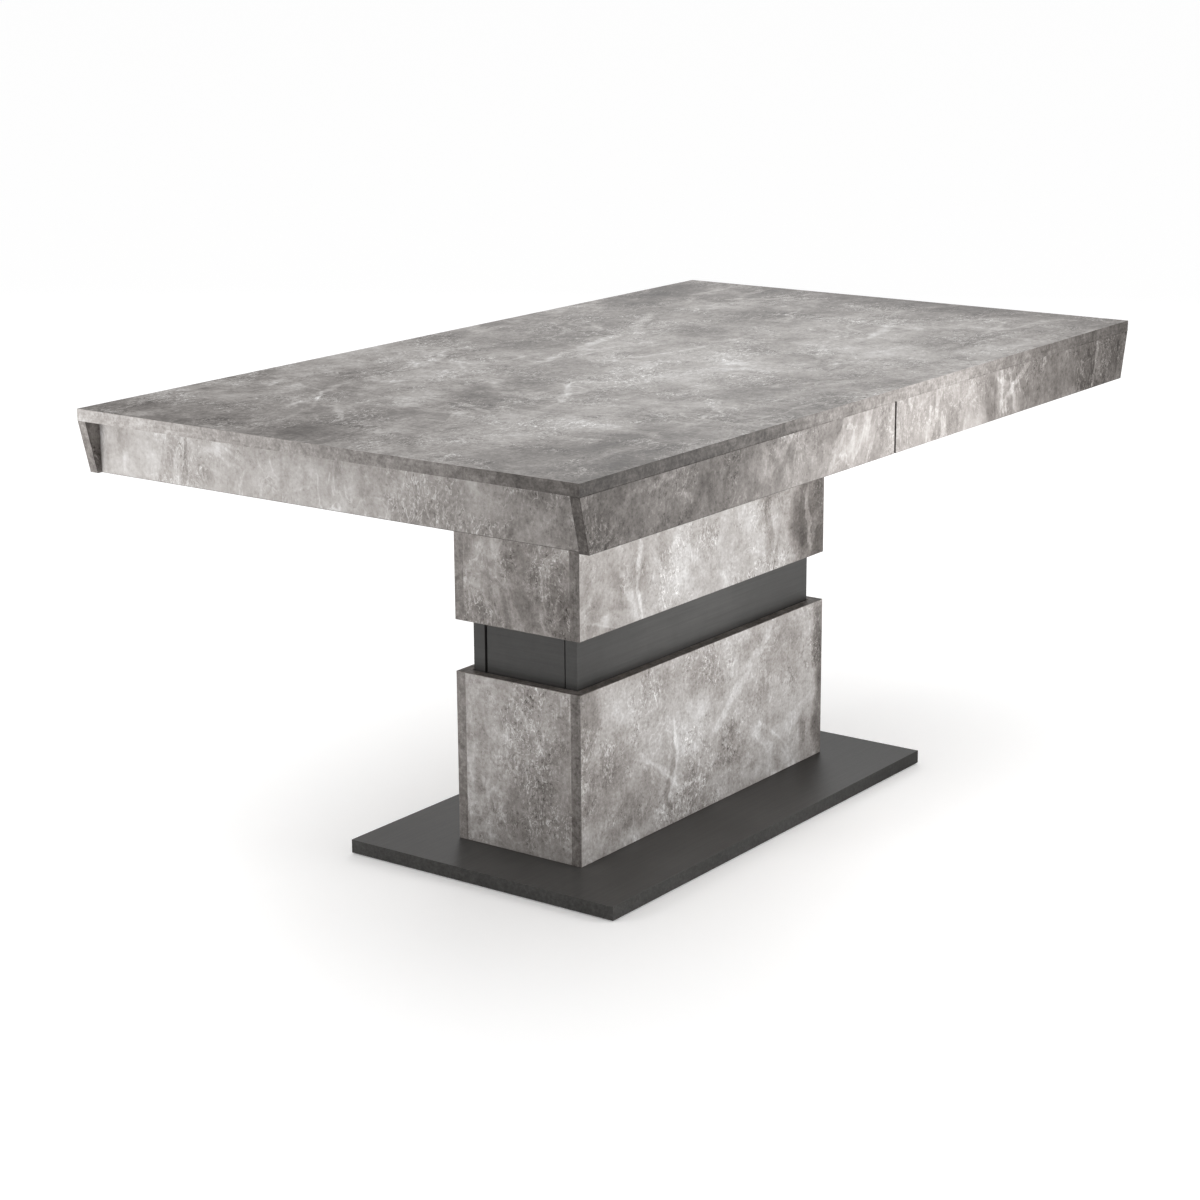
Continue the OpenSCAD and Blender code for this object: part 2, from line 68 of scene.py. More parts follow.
class Shader:
    """A Principled material, with one short call for each kind of node that the finishes use."""

    def __init__(self, name, roughness, metallic=0.0, specular=0.5):
        self.material = bpy.data.materials.new(name)
        self.material.use_nodes = True
        self.tree = self.material.node_tree
        self.surface = self.tree.nodes["Principled BSDF"]
        self.surface.inputs["Roughness"].default_value = roughness
        self.surface.inputs["Metallic"].default_value = metallic
        self.surface.inputs["Specular IOR Level"].default_value = specular
        self.where = self.tree.nodes.new("ShaderNodeTexCoord").outputs["Object"]

    def put(self, value, socket):
        if isinstance(value, bpy.types.NodeSocket):
            self.tree.links.new(value, socket)
        else:
            socket.default_value = value

    def node(self, kind, inputs=(), **settings):
        made = self.tree.nodes.new("ShaderNode" + kind)
        for key, value in settings.items():
            setattr(made, key, value)
        for key, value in dict(inputs).items():
            self.put(value, made.inputs[key])
        return made

    def math(self, operation, a, b=0.0):
        return self.node("Math", {0: a, 1: b}, operation=operation).outputs[0]

    def add(self, *values):
        total = values[0]
        for value in values[1:]:
            total = self.math("ADD", total, value)
        return total

    def times(self, a, b):
        return self.math("MULTIPLY", a, b)

    def move(self, vector, offset=(0, 0, 0), scale=(1, 1, 1)):
        inputs = {"Vector": vector, "Location": offset, "Scale": scale}
        return self.node("Mapping", inputs).outputs[0]

    def noise(self, vector, scale, detail, rough, twist=0.0):
        inputs = {"Vector": vector, "Scale": scale, "Detail": detail, "Roughness": rough,
                  "Distortion": twist}
        return self.node("TexNoise", inputs).outputs["Fac"]

    def ridges(self, vector, scale, detail, twist, width=0.035):
        """Thin bright lines, about 0 to 1, where a noise crosses its middle value."""
        off_middle = self.math("SUBTRACT", self.noise(vector, scale, detail, 0.55, twist), 0.5)
        return self.span(self.math("ABSOLUTE", off_middle), 0.0, width, 1.0, 0.0)

    def span(self, value, low, high, to_low=0.0, to_high=1.0):
        """A smooth step from to_low at low to to_high at high."""
        inputs = {"Value": value, "From Min": low, "From Max": high, "To Min": to_low,
                  "To Max": to_high}
        return self.node("MapRange", inputs, interpolation_type="SMOOTHSTEP").outputs[0]

    def swing(self, value, amount):
        """A noise value turned into plus or minus amount, more or less."""
        return self.times(self.math("SUBTRACT", value, 0.5), amount)

    def ramp(self, value, stops):
        """Grey levels given as (place, level) pairs, blended smoothly along value."""
        made = self.node("ValToRGB", {"Fac": value})
        points = made.color_ramp.elements
        made.color_ramp.interpolation = "B_SPLINE"
        while len(points) < len(stops):
            points.new(0.5)
        for point, (place, level) in zip(points, stops):
            point.position, point.color = place, (level, level, level, 1)
        return made.outputs["Color"]

    def tinted(self, tone, lean):
        """A colour from a tone on the display scale.

        lean is how far red and blue stand off green. It is smaller where the tone is light.
        """
        faded = self.span(tone, 0.55, 0.85, 1.0, 0.3)
        red, blue = (self.add(tone, self.times(faded, part)) for part in lean)
        levels = [self.math("POWER", self.math("MAXIMUM", level, 0.0), DISPLAY_POWER)
                  for level in (red, tone, blue)]
        return self.node("CombineColor", dict(enumerate(levels))).outputs[0]

    def blend(self, factor, first, second):
        made = self.node("Mix", {"Factor": factor}, data_type="RGBA")
        for socket, value in ((made.inputs[6], first), (made.inputs[7], second)):
            self.put(value if isinstance(value, bpy.types.NodeSocket) else (*value, 1), socket)
        return made.outputs[2]

    def bump(self, height, depth, strength):
        made = self.node("Bump", {"Height": height, "Distance": depth, "Strength": strength})
        self.put(made.outputs[0], self.surface.inputs["Normal"])

    def finish(self, colour, rough=None):
        self.put(colour, self.surface.inputs["Base Color"])
        if rough is not None:
            self.put(rough, self.surface.inputs["Roughness"])
        return self.material


# ---- concrete-look boards ---------------------------------------------------------

WARM_GREY = (0.019, -0.0135)  # how far red and blue stand off green
DARK_GREY = (0.003, -0.005)
STAIN_DEPTH = 0.22  # an oval's half size square to its face
STAIN_RAGGED = 0.09  # how far a stain's outline is pushed about
WAVER = 0.1  # how far the tones along a face are pushed about, as a part of its length
PRINT_SPECULAR = 0.35


def place_along(s, axis, low, high):
    """0 to 1 along an axis of the part, with a boundary that wavers a little."""
    part = s.node("SeparateXYZ", {0: s.where}).outputs["XYZ".index(axis)]
    wobble = s.swing(s.noise(s.where, 5.0, 5.0, 0.6), WAVER * (high - low))
    inputs = {"Value": s.add(part, wobble), "From Min": low, "From Max": high}
    return s.node("MapRange", inputs).outputs[0]


def stains(s, marks, plane, level):
    """Soft ovals with ragged outlines.

    A mark is (middle, half sizes, turn in degrees, how much lighter). Marks are in millimetres
    along the two axes that plane names, on a face at level along the third.
    """
    inputs = {"Vector": s.where, "Scale": 9.0, "Detail": 6.0, "Roughness": 0.62}
    ragged = s.node("TexNoise", inputs).outputs["Color"]
    push = s.node("VectorMath", {0: ragged, 1: (0.5, 0.5, 0.5)}, operation="SUBTRACT").outputs[0]
    push = s.node("VectorMath", {0: push, 3: STAIN_RAGGED}, operation="SCALE").outputs[0]
    where = s.node("VectorMath", {0: s.where, 1: push}, operation="ADD").outputs[0]
    axes = ["XYZ".index(axis) for axis in plane]
    across = 3 - sum(axes)
    total = 0.0
    for middle, half, turn, lift in marks:
        centre, reach, spin = [level] * 3, [STAIN_DEPTH] * 3, [0.0] * 3
        for i in (0, 1):
            centre[axes[i]], reach[axes[i]] = middle[i] * MM, half[i] * MM
        spin[across] = math.radians(-turn if across == 1 else turn)
        inputs = {"Vector": where, "Location": centre, "Rotation": spin, "Scale": reach}
        oval = s.node("Mapping", inputs, vector_type="TEXTURE").outputs[0]
        fade = s.node("TexGradient", {0: oval}, gradient_type="SPHERICAL").outputs["Fac"]
        total = s.add(total, s.times(s.span(fade, 0.0, 0.6), lift))
    return total


def concrete(name, offset, along, stops, calm=((0, 1), (1, 1)), streaks=(70, 70, 4),
             folds=(7, 7, 1.6), drawn=(1, 1, 0.55), clouds=4.5, cloud_depth=0.20, grit_depth=1.0,
             roughness=0.62, marks=(), plane="XY", level=0.0):
    """Printed concrete look.

    stops give the base tone along one axis, and calm gives how rough the print is there. offset
    picks the piece of print. streaks, folds and drawn stretch the brush marks, the creases and the
    lines.
    """
    s = Shader(name, roughness, specular=PRINT_SPECULAR)
    at = s.move(s.where, offset)
    place = place_along(s, *along)
    base = s.ramp(place, stops)
    depth = s.times(s.ramp(place, calm), grit_depth)
    lines = s.move(at, scale=drawn)
    # Clouds from as wide as a plate down to specks of a few millimetres
    big = s.noise(at, clouds, 8.0, 0.58, 0.7)
    patch = s.noise(at, clouds * 3.2, 8.0, 0.66, 0.5)
    mottle = s.noise(at, 42.0, 6.0, 0.72)
    grit = s.noise(at, 190.0, 4.0, 0.7)
    # Brush marks, and creases with one sharp side, in places
    brushed = s.noise(s.move(at, scale=streaks), 1.0, 5.0, 0.65)
    steps = s.math("FRACT", s.times(s.noise(s.move(at, scale=folds), 1.0, 6.0, 0.5, 0.6), 5.0))
    stepped = s.span(s.noise(at, 4.0, 3.0, 0.5), 0.47, 0.62)
    # Rough areas with pores, flecks and short curled lines
    spalled = s.span(s.noise(at, 8.0, 6.0, 0.68), 0.45, 0.60)
    broken = s.span(s.noise(lines, 110.0, 3.0, 0.6), 0.30, 0.54)
    curls = s.times(s.ridges(lines, 60.0, 4.0, 1.8, 0.036), spalled)
    scribble = s.times(curls, broken)
    pores = s.times(s.span(grit, 0.43, 0.30), s.add(spalled, 0.3))
    flecks = s.times(s.span(grit, 0.58, 0.72), s.add(spalled, 0.3))
    # Fine cracks in places, and a few long pale veins
    cracked = s.span(s.noise(at, 13.0, 5.0, 0.7), 0.47, 0.66)
    crazing = s.times(s.ridges(lines, 28.0, 6.0, 1.2), cracked)
    veins = s.times(s.ridges(at, 3.2, 7.0, 1.6), s.span(s.noise(at, 5.0, 4.0, 0.6), 0.42, 0.6))
    fine = s.add(
        s.swing(mottle, 0.34),
        s.swing(grit, 0.28),
        s.times(scribble, 0.27),
        s.times(pores, -0.17),
        s.times(flecks, 0.13),
    )
    tone = s.add(
        base,
        stains(s, marks, plane, level),
        s.swing(big, cloud_depth * 2.0),
        s.swing(patch, cloud_depth * 2.0),
        s.swing(brushed, 0.12),
        s.times(s.swing(steps, 0.09), stepped),
        s.times(spalled, -0.05),
        s.times(crazing, 0.12),
        s.times(veins, 0.11),
        s.times(fine, depth),
    )
    s.bump(s.add(s.times(grit, 0.5), s.times(mottle, 0.6), s.times(pores, -0.6)), 0.00012, 0.6)
    return s.finish(s.tinted(tone, WARM_GREY), s.add(s.swing(mottle, 0.16), roughness))


def stretched(s, along, with_it, across_it):
    """The place on the part, scaled for a grain that runs along one axis, given as X, Y or Z."""
    return s.move(s.where, scale=[with_it if axis == along else across_it for axis in "XYZ"])


def edging(name, along, stops, grain_along):
    """Printed edging: the same look in darker, finer grain that runs along one axis."""
    s = Shader(name, 0.55, specular=PRINT_SPECULAR)
    base = s.ramp(place_along(s, *along), stops)
    speckle = s.noise(s.where, 230.0, 4.0, 0.7)
    mottle = s.noise(s.where, 75.0, 6.0, 0.7, 0.6)
    fibre = s.noise(stretched(s, grain_along, 12, 260), 1.0, 4.0, 0.65)
    cloud = s.noise(s.where, 26.0, 6.0, 0.65, 0.8)
    tone = s.add(
        base,
        s.swing(speckle, 0.36),
        s.swing(mottle, 0.42),
        s.swing(fibre, 0.16),
        s.swing(cloud, 0.32),
    )
    s.bump(speckle, 0.0001, 0.5)
    return s.finish(s.tinted(tone, WARM_GREY))


HALF = (-HALF_LENGTH, HALF_LENGTH)
ACROSS = (-HALF_WIDTH, HALF_WIDTH)
block_low, block_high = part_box("lower_edging")
BLOCK_X, BLOCK_Y = (block_low.x, block_high.x), (block_low.y, block_high.y)

# Clouds, pale wisps and cracks, and one patch of painted shade, in the form that stains() takes
TOP_STAINS = [
    ((-770, 330), (170, 190), 0, -0.08), ((-760, 40), (150, 90), 0, -0.07),
    ((-640, -350), (300, 170), 10, -0.09), ((-150, -400), (120, 80), 0, -0.10),
    ((-110, -290), (140, 70), 10, -0.07), ((-420, 20), (150, 80), 25, -0.09),
    ((-250, 30), (100, 60), 40, -0.06), ((270, 90), (80, 110), 0, -0.07),
    ((270, -80), (110, 70), 20, -0.06), ((560, 90), (190, 120), 10, -0.07),
    ((780, 0), (110, 500), 0, -0.09), ((560, 400), (260, 90), 10, -0.08),
    ((60, -380), (90, 60), 0, -0.05), ((400, -330), (90, 60), 0, -0.05),
    ((-560, 380), (120, 60), 0, -0.05), ((-350, 170), (240, 110), 15, 0.06),
    ((-30, -40), (260, 160), 10, 0.08), ((-60, -180), (170, 70), 10, 0.06),
    ((400, -230), (280, 110), 5, 0.05), ((180, 150), (300, 70), 12, 0.05),
    ((-440, -200), (140, 50), 20, 0.05), ((-520, 235), (130, 14), 15, 0.13),
    ((60, 165), (260, 16), 6, 0.12), ((330, 240), (130, 16), 30, 0.12),
    ((215, -185), (120, 8), 25, 0.09), ((430, -160), (150, 12), 12, 0.10),
    ((700, 260), (110, 14), 20, 0.10), ((-470, -10), (70, 10), 60, 0.11),
    ((300, 205), (120, 24), 30, -0.06), ((430, -135), (130, 22), 12, -0.05),
    ((-700, -380), (330, 170), 0, -0.08), ((-400, -400), (260, 140), 0, -0.07),
    ((-520, -10), (150, 110), 0, -0.06), ((-560, 400), (420, 130), 0, 0.06),
    ((-200, 400), (220, 110), 0, 0.07), ((180, 330), (260, 180), 0, -0.05),
    ((700, 330), (180, 220), 0, -0.08), ((250, -410), (420, 110), 0, 0.04),
    ((-90, 190), (110, 120), 0, 0.05), ((-300, -60), (150, 9), 28, 0.11),
    ((-620, 120), (120, 8), 40, 0.10), ((80, 20), (170, 9), -8, 0.10),
    ((520, 60), (120, 9), 15, 0.10), ((-180, 300), (140, 9), 22, 0.09),
    ((-330, -330), (110, 8), 15, 0.09),
]
LOWER_STAINS = [
    ((-335, 260), (45, 60), 0, -0.10), ((-265, 165), (70, 50), 0, -0.09),
    ((-320, 105), (60, 40), 0, -0.08), ((-200, 90), (100, 60), 10, -0.07),
    ((25, 230), (50, 40), 0, -0.06), ((75, 110), (60, 50), 0, -0.10),
    ((125, 265), (50, 30), 0, -0.07), ((345, 160), (34, 220), 4, -0.18),
    ((290, 80), (20, 40), 10, -0.10), ((-108, 95), (10, 110), -3, -0.10),
    ((-97, 130), (9, 120), -3, 0.09), ((-60, 190), (90, 100), 0, 0.06),
    ((60, 180), (110, 14), 35, 0.10), ((300, 190), (40, 130), 0, 0.06),
    ((160, 270), (60, 12), 40, 0.10), ((-200, 250), (100, 50), 0, 0.05),
]
APRON_STAINS = [
    ((395, 700), (70, 9), 25, 0.12), ((375, 690), (9, 60), 20, 0.11),
    ((345, 712), (40, 8), -30, 0.10), ((680, 700), (9, 60), -12, 0.16),
    ((640, 690), (60, 60), 0, -0.07), ((305, 690), (30, 70), 0, -0.08),
]
# The first oval is painted shade on the upper block's right end.
UPPER_STAINS = [
    ((320, 460), (90, 160), 0, -0.20), ((300, 450), (8, 90), 12, 0.16),
    ((-190, 440), (8, 110), 4, 0.12), ((-230, 440), (70, 12), -55, 0.09),
    ((170, 470), (16, 120), 0, -0.09), ((-80, 480), (40, 120), 0, 0.06),
    ((60, 470), (60, 110), 0, 0.06), ((-320, 450), (40, 90), 0, -0.05),
]

# The slabs' print runs along the table and has wider clouds than the upright boards'
ALONG_TOP = {"streaks": (6, 40, 40), "folds": (2.0, 4.5, 4.5), "drawn": (0.55, 1, 1),
             "clouds": 3.2, "cloud_depth": 0.24, "grit_depth": 1.15, "roughness": 0.55}

concretes = {
    "top": concrete(
        "concrete_top", (0, 0, 0), ("X", *HALF),
        [(0, 0.49), (0.2, 0.52), (0.45, 0.54), (0.62, 0.545), (0.8, 0.53), (1, 0.50)],
        marks=TOP_STAINS, level=TOP_HIGH.z, **ALONG_TOP),
    # The bright middle and dark ends are partly print and partly painted highlight and shade.
    "apron_long": concrete(
        "concrete_apron_long", (3.1, 0.4, 1.7), ("X", *HALF),
        [(0, 0.39), (0.1, 0.34), (0.22, 0.35), (0.32, 0.495), (0.5, 0.575), (0.62, 0.605),
         (0.74, 0.45), (0.86, 0.35), (1, 0.31)],
        calm=[(0, 0.9), (0.3, 0.9), (0.45, 0.6), (0.62, 0.35), (0.75, 0.75), (1, 0.9)],
        marks=APRON_STAINS, plane="XZ", level=-HALF_WIDTH),
    # Lighter towards the far corner: painted light falling on the left end.
    "apron_end": concrete(
        "concrete_apron_end", (7.3, 2.2, 0.9), ("Y", *ACROSS),
        [(0, 0.45), (0.2, 0.56), (0.6, 0.585), (1, 0.62)],
        calm=[(0, 0.95), (0.4, 0.75), (1, 0.5)], cloud_depth=0.16),
    # Darker towards its right end: painted shade.
    "upper_long": concrete(
        "concrete_upper_long", (1.3, 5.1, 2.9), ("X", *BLOCK_X),
        [(0, 0.63), (0.3, 0.65), (0.6, 0.67), (0.85, 0.60), (1, 0.57)],
        calm=[(0, 0.8), (0.6, 0.8), (1, 1)],
        marks=UPPER_STAINS, plane="XZ", level=BLOCK_Y[0]),
    "upper_end": concrete(
        "concrete_upper_end", (4.7, 1.9, 6.3), ("Y", *BLOCK_Y),
        [(0, 0.495), (0.5, 0.49), (1, 0.52)]),
    "lower_long": concrete(
        "concrete_lower_long", (8.2, 3.3, 4.1), ("X", *BLOCK_X),
        [(0, 0.605), (0.25, 0.625), (0.5, 0.665), (0.8, 0.64), (1, 0.62)],
        marks=LOWER_STAINS, plane="XZ", level=BLOCK_Y[0], cloud_depth=0.17),
    "lower_end": concrete(
        "concrete_lower_end", (2.6, 7.7, 5.2), ("Y", *BLOCK_Y),
        [(0, 0.57), (0.5, 0.59), (1, 0.59)], cloud_depth=0.18),
    "leaf": concrete(
        "concrete_leaf", (5.5, 4.4, 3.3), ("X", *HALF),
        [(0, 0.59), (1, 0.59)], **ALONG_TOP),
}

edgings = {
    # The bright middle and dark ends are partly print and partly painted highlight and shade.
    "top": edging(
        "edging_top", ("X", *HALF),
        [(0, 0.215), (0.25, 0.225), (0.38, 0.42), (0.55, 0.56), (0.65, 0.525), (0.78, 0.39),
         (1, 0.28)], "X"),
    # Lighter towards the far corner: painted light falling on the left end.
    "top_end": edging(
        "edging_top_end", ("Y", *ACROSS),
        [(0, 0.24), (0.25, 0.40), (0.6, 0.515), (1, 0.63)], "Y"),
    # Lighter towards the far corner: painted light falling on the left end.
    "slope": edging("edging_slope", ("Y", *ACROSS), [(0, 0.19), (1, 0.47)], "Z"),
    "block": edging("edging_block", ("Y", *BLOCK_Y), [(0, 0.375), (1, 0.475)], "Z"),
    "leaf": edging("edging_leaf", ("X", *HALF), [(0, 0.42), (1, 0.42)], "X"),
    # A light copy of the edging that rounded arrises wear: a painted highlight, not wear.
    "arris_highlight": edging("edging_arris_highlight", ("Y", *ACROSS), [(0, 0.70), (1, 0.72)], "Z"),
}


# ---- other finishes ---------------------------------------------------------------


def anthracite(name, half, stops, streaks, grain_depth=0.03, specular=0.2):
    """Matt dark foil with a faint brushed print. stops give its tone along X, half each way."""
    s = Shader(name, 0.42, specular=specular)
    base = s.ramp(place_along(s, "X", -half, half), stops)
    fibre = s.noise(s.move(s.where, scale=streaks), 1.0, 5.0, 0.7)
    cloud = s.noise(s.where, 9.0, 6.0, 0.65)
    grain = s.noise(s.where, 170.0, 5.0, 0.75)
    s.bump(s.add(fibre, s.times(grain, 0.6)), 0.00008, 0.7)
    tone = s.add(base, s.swing(fibre, 0.08), s.swing(cloud, 0.10), s.swing(grain, grain_depth))
    rough = s.add(s.swing(grain, 0.15), s.swing(cloud, 0.12), 0.42)
    return s.finish(s.tinted(tone, DARK_GREY), rough)


def wood(name, along, light, dark):
    """Planed wood with wide figure, fine fibre and short pores that run along one axis."""
    s = Shader(name, 0.55, specular=0.3)
    at = stretched(s, along, 1.0, 14.0)
    rings = s.noise(at, 2.2, 4.0, 0.5, 1.5)
    inputs = {"Vector": at, "Scale": 1.1, "Distortion": 5.0, "Detail": 3.0, "Detail Scale": 1.4}
    bands = s.node("TexWave", inputs, bands_direction="DIAGONAL").outputs["Fac"]
    fibre = s.noise(stretched(s, along, 6.0, 220.0), 1.0, 4.0, 0.6)
    streak = s.noise(stretched(s, along, 2.5, 70.0), 1.0, 5.0, 0.65)
    pores = s.span(s.noise(stretched(s, along, 60.0, 520.0), 1.0, 2.0, 0.6), 0.60, 0.70)
    mixed = s.add(
        s.times(bands, 0.40),
        s.times(rings, 0.35),
        s.swing(fibre, 0.7),
        s.swing(streak, 0.8),
        s.times(pores, -0.30),
        0.1,
    )
    s.bump(s.add(fibre, s.times(pores, -0.8)), 0.0001, 0.6)
    return s.finish(s.blend(mixed, dark, light), s.add(s.swing(fibre, 0.2), 0.55))


def chipboard(name):
    """Bare chipboard: pressed chips of several browns."""
    s = Shader(name, 0.85, specular=0.2)
    chips = s.node("TexVoronoi", {"Vector": s.move(s.where, scale=(1, 2.2, 2.2)), "Scale": 160.0})
    chip_tone = s.node("SeparateColor", {0: chips.outputs["Color"]}).outputs[0]
    dust = s.noise(s.where, 500.0, 3.0, 0.6)
    s.bump(s.add(chip_tone, dust), 0.0003, 0.6)
    mixed = s.add(s.times(chip_tone, 0.8), s.swing(dust, 0.3))
    return s.finish(s.blend(mixed, (0.26, 0.17, 0.09), (0.60, 0.45, 0.28)))


def zinc(name):
    """Bright zinc plate: rolling marks, faint clouds and a few dull spots."""
    s = Shader(name, 0.48, metallic=1.0)
    rolled = s.noise(s.move(s.where, scale=(8, 300, 300)), 1.0, 3.0, 0.6)
    cloud = s.noise(s.where, 45.0, 5.0, 0.6)
    dull = s.span(s.noise(s.where, 18.0, 4.0, 0.7), 0.5, 0.7)
    s.bump(rolled, 0.00004, 0.5)
    mixed = s.add(cloud, s.swing(rolled, 0.5), s.times(dull, -0.35))
    colour = s.blend(mixed, (0.16, 0.165, 0.175), (0.36, 0.365, 0.37))
    return s.finish(colour, s.add(s.swing(rolled, 0.18), s.times(dull, 0.15), 0.48))


def fine_grained(name, dark, light, roughness, scale, depth):
    """Powder coat, moulded plastic or felt, told apart by grain size, depth and roughness."""
    s = Shader(name, roughness, specular=0.4)
    grain = s.noise(s.where, scale, 5.0, 0.65)
    cloud = s.noise(s.where, 25.0, 4.0, 0.6)
    s.bump(grain, depth, 0.8)
    mixed = s.add(s.times(grain, 0.6), s.times(cloud, 0.4))
    return s.finish(s.blend(mixed, dark, light), s.add(s.swing(grain, 0.2), roughness))


BEECH_LIGHT, BEECH_DARK = (0.58, 0.41, 0.25), (0.34, 0.20, 0.10)
PLATE_HALF, NECK_HALF = 0.455, 0.33  # half lengths of the base plate and the neck

anthracite_boards = anthracite(
    "anthracite_base", PLATE_HALF,
    [(0, 0.29), (0.5, 0.295), (0.65, 0.265), (0.8, 0.215), (1, 0.195)], (6, 260, 260))
# A brighter middle and darker ends along the neck: painted highlight and shade.
anthracite_neck = anthracite(
    "anthracite_neck", NECK_HALF,
    [(0, 0.23), (0.2, 0.262), (0.42, 0.29), (0.58, 0.285), (0.8, 0.255), (1, 0.23)],
    (6, 6, 260), specular=0.3)
# A lighter copy of the foil for the plate's rounded arris: a painted highlight.
anthracite_arris_highlight = anthracite(
    "anthracite_arris_highlight", PLATE_HALF, [(0, 0.36), (1, 0.33)], (60, 60, 60), grain_depth=0.12)
anthracite_edge = anthracite(
    "anthracite_edge", PLATE_HALF,
    [(0, 0.25), (0.2, 0.23), (0.5, 0.24), (0.7, 0.215), (0.85, 0.185), (1, 0.16)],
    (260, 260, 260), grain_depth=0.20, specular=0.12)
beech_along = {axis: wood("beech_" + axis.lower(), axis, BEECH_LIGHT, BEECH_DARK) for axis in "XY"}
bare_chipboard = chipboard("bare_chipboard")
zinc_plate = zinc("zinc_plate")
black_coat = fine_grained(
    "black_powder_coat", (0.012, 0.012, 0.013), (0.03, 0.03, 0.032), 0.45, 700.0, 0.00005)
natural_nylon = fine_grained(
    "natural_nylon", (0.62, 0.60, 0.54), (0.80, 0.79, 0.74), 0.38, 260.0, 0.00004)
glide_plastic = fine_grained(
    "glide_plastic", (0.02, 0.02, 0.02), (0.045, 0.045, 0.045), 0.5, 500.0, 0.00005)
grey_felt = fine_grained(
    "grey_felt", (0.05, 0.045, 0.04), (0.16, 0.15, 0.14), 0.95, 900.0, 0.0006)


def concrete_of(node):
    """The print that a concrete board wears."""
    side = "end" if node.endswith(("left_panel", "right_panel")) else "long"
    starts = {"top_": "top", "leaf_": "leaf", "apron_end": "apron_end", "apron_": "apron_long",
              "upper_": "upper_" + side, "lower_": "lower_" + side}
    return next(concretes[key] for start, key in starts.items() if node.startswith(start))


def finish_of(node):
    """The material that a node wears."""
    slot = slot_of[node]
    if slot == "concrete_board":
        return concrete_of(node)
    if slot == "edging":
        if node.startswith(("upper", "lower")):
            return edgings["block"]
        return edgings["leaf" if "leaf" in node else "top"]
    if slot == "beech":
        return beech_along["Y" if node in ("cross_beams", "leaf_dowels") else "X"]
    return {
        "anthracite_board": anthracite_neck if node.startswith("neck") else anthracite_boards,
        "raw_chipboard": bare_chipboard,
        "zinc_steel": zinc_plate,
        "black_steel": black_coat,
        "nylon": natural_nylon,
        "glide_plastic": glide_plastic,
        "felt": grey_felt,
    }[slot]


def dress(piece, *materials):
    piece.data.materials.clear()
    for material in materials:
        piece.data.materials.append(material)


# ---- boards with eased edges --------------------------------------------------------

TOUCH = 0.02 * MM  # parts nearer than this touch
FLAT = math.radians(1)  # faces that turn less than this are one face
SHARP = math.radians(40)  # edges that turn more than this are rounded


def within(point, low, high):
    return all(low[i] - TOUCH <= point[i] <= high[i] + TOUCH for i in range(3))


def eased(node, width, against=(), arris_highlight=None):
    """A board or strip with its outer edges rounded, which stands for its CAD node.

    An edge that lies on one of the nodes in against is a joint, and it stays sharp. Where a
    highlight material is given, the rounding wears it: a painted highlight along the arris.
    """
    shape = bmesh.new()
    shape.from_mesh(nodes[node].data)
    bmesh.ops.remove_doubles(shape, verts=shape.verts, dist=TOUCH / 4)
    bmesh.ops.dissolve_limit(shape, angle_limit=FLAT, verts=shape.verts, edges=shape.edges)
    partners = [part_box(other) for other in against]

    def free(edge):
        return not any(all(within(v.co, *partner) for v in edge.verts) for partner in partners)

    outer = [edge for edge in shape.edges
             if len(edge.link_faces) == 2 and edge.calc_face_angle() > SHARP and free(edge)]
    bmesh.ops.bevel(shape, geom=outer, offset=width, segments=3, profile=0.5, affect="EDGES",
                    clamp_overlap=True, material=1)
    mesh = bpy.data.meshes.new(node + "_eased")
    shape.to_mesh(mesh)
    shape.free()
    piece = bpy.data.objects.new(node + "_eased", mesh)
    bpy.context.scene.collection.objects.link(piece)
    dress(piece, finish_of(node), arris_highlight or finish_of(node))
    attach(piece, body_of[node])
    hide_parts(node)
    return piece


def wear_by_direction(piece, sides):
    """Gives the flat faces of a piece other materials. sides lists (test of a face, material)."""
    for test, material in sides:
        piece.data.materials.append(material)
        index = len(piece.data.materials) - 1
        for face in piece.data.polygons:
            if face.material_index == 0 and test(face):
                face.material_index = index


EDGING_RADIUS = 0.9 * MM
BOARD_RADIUS = 0.5 * MM
PLATE_RADIUS = 1.2 * MM
STICK_RADIUS = 1.5 * MM
# The light edging for rounded arrises: a painted highlight along them.
edging_highlight = edgings["arris_highlight"]


def faces_up_or_down(face):
    return abs(face.normal.z) > 0.9


def faces_sideways(face):
    return abs(face.normal.z) < 0.1


def faces_an_end(face):
    return abs(face.normal.x) > 0.7


for half in ("left", "right"):
    panel, ring = "top_panel_" + half, "top_edging_" + half
    eased(panel, BOARD_RADIUS, against=(ring,))
    wear_by_direction(eased(ring, EDGING_RADIUS, against=(panel,), arris_highlight=edging_highlight),
                      [(faces_up_or_down, concretes["top"]), (faces_an_end, edgings["top_end"])])
    boards = ["apron_front_" + half, "apron_back_" + half, "apron_end_" + half]
    for board in boards:
        eased(board, BOARD_RADIUS, against=("apron_edging_" + half,))
    wear_by_direction(eased("apron_edging_" + half, EDGING_RADIUS, against=boards),
                      [(faces_an_end, edgings["slope"])])

for block in ("lower", "upper"):
    boards = [f"{block}_{side}_panel" for side in ("front", "back", "left", "right")]
    for board in boards:
        eased(board, BOARD_RADIUS, against=(block + "_edging",))
    eased(block + "_edging", EDGING_RADIUS, against=boards, arris_highlight=edging_highlight)

for leaf in ("leaf_front", "leaf_back"):
    eased(leaf, BOARD_RADIUS, against=("leaf_edging",))
eased("leaf_edging", EDGING_RADIUS, against=("leaf_front", "leaf_back"))

